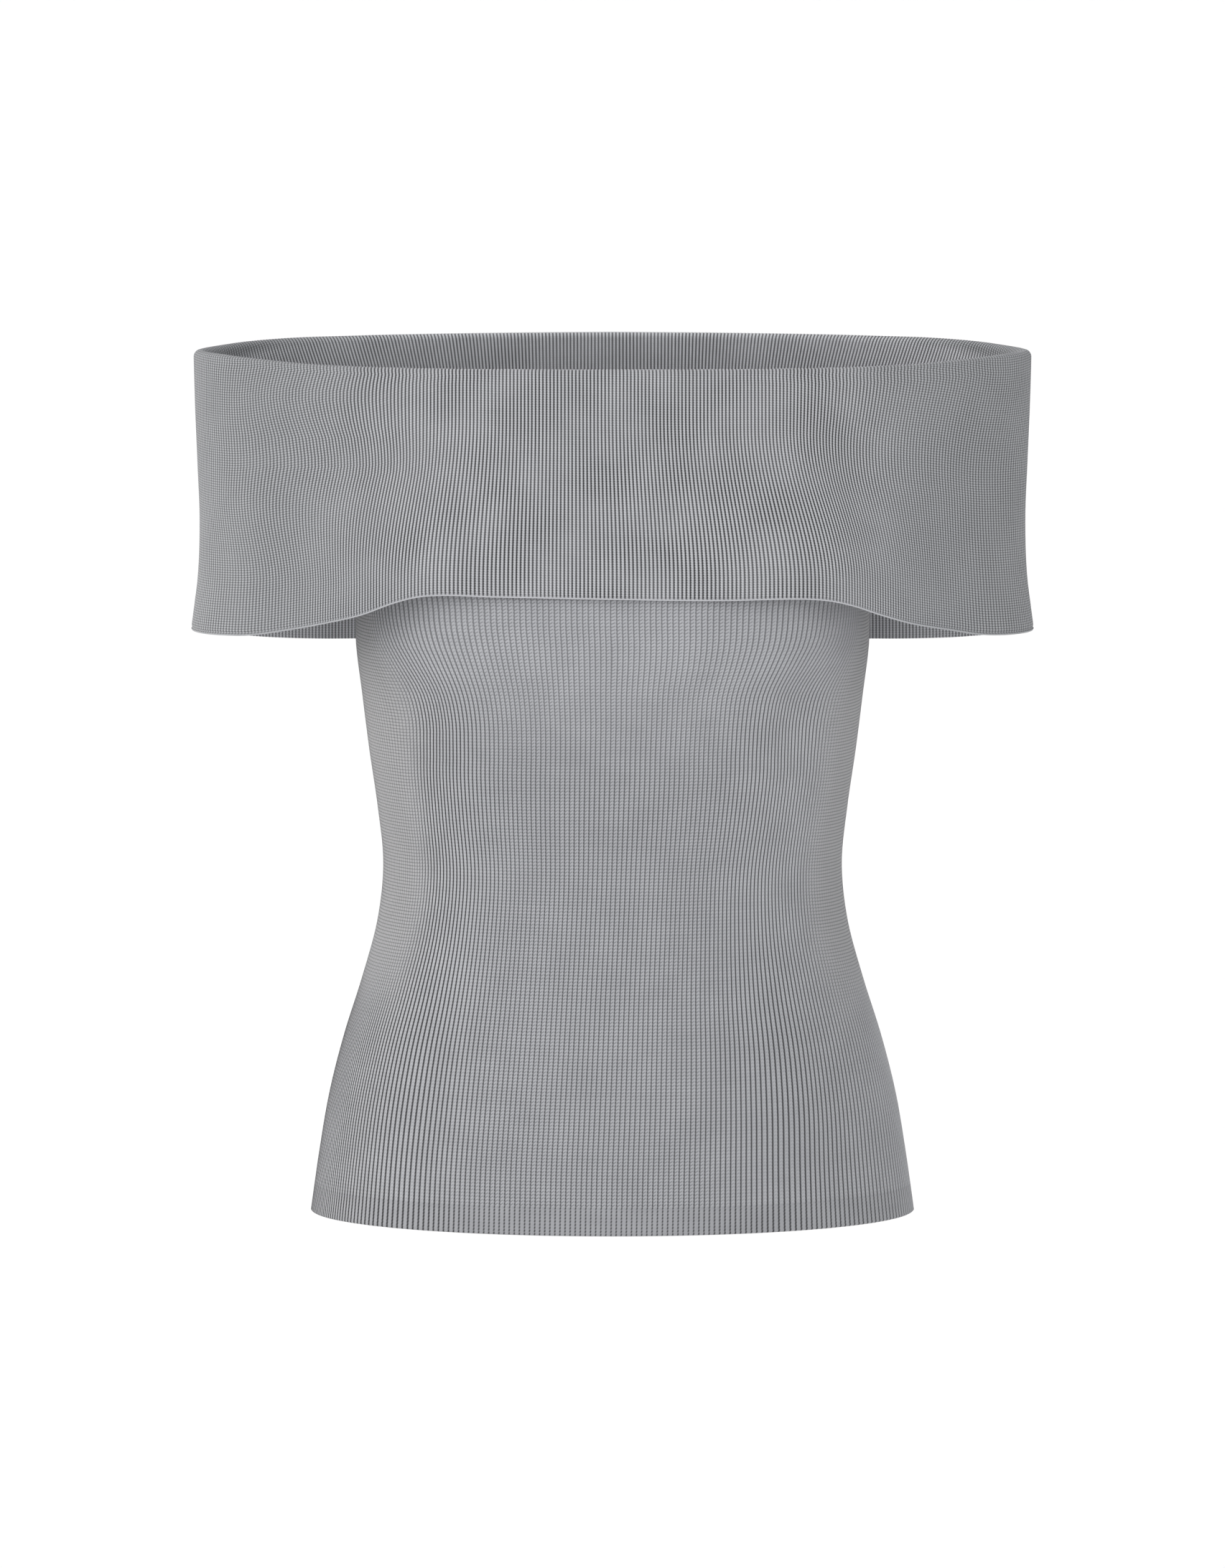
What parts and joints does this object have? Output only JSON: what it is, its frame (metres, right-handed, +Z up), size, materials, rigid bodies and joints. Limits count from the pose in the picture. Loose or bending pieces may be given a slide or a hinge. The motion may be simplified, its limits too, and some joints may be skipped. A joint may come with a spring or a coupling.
{
  "type": "knit top",
  "caption": "Off-shoulder rib-knit top with a wide fold-down collar and a shaped waist, filled out hollow as when worn.",
  "frame": {"origin": "centre of the neck opening, level with the collar's corners over the upper arms, where the wearer's arms and chest hold the top up", "axes": "+Z up along the wearer's trunk, the front faces -Y, and the wearer's left arm is at +X"},
  "size_m": [0.4512, 0.2446, 0.4671],
  "materials": {
    "body_rib_knit": "fine two-by-one rib knit in mid grey yarn, soft and matt",
    "collar_rib_knit": "fine one-by-one rib knit in mid grey yarn, soft and matt"
  },
  "bodies": {
    "root": {"body_front": "body_rib_knit", "body_back": "body_rib_knit", "collar_front": "collar_rib_knit", "collar_back": "collar_rib_knit"}
  },
  "joints": []
}
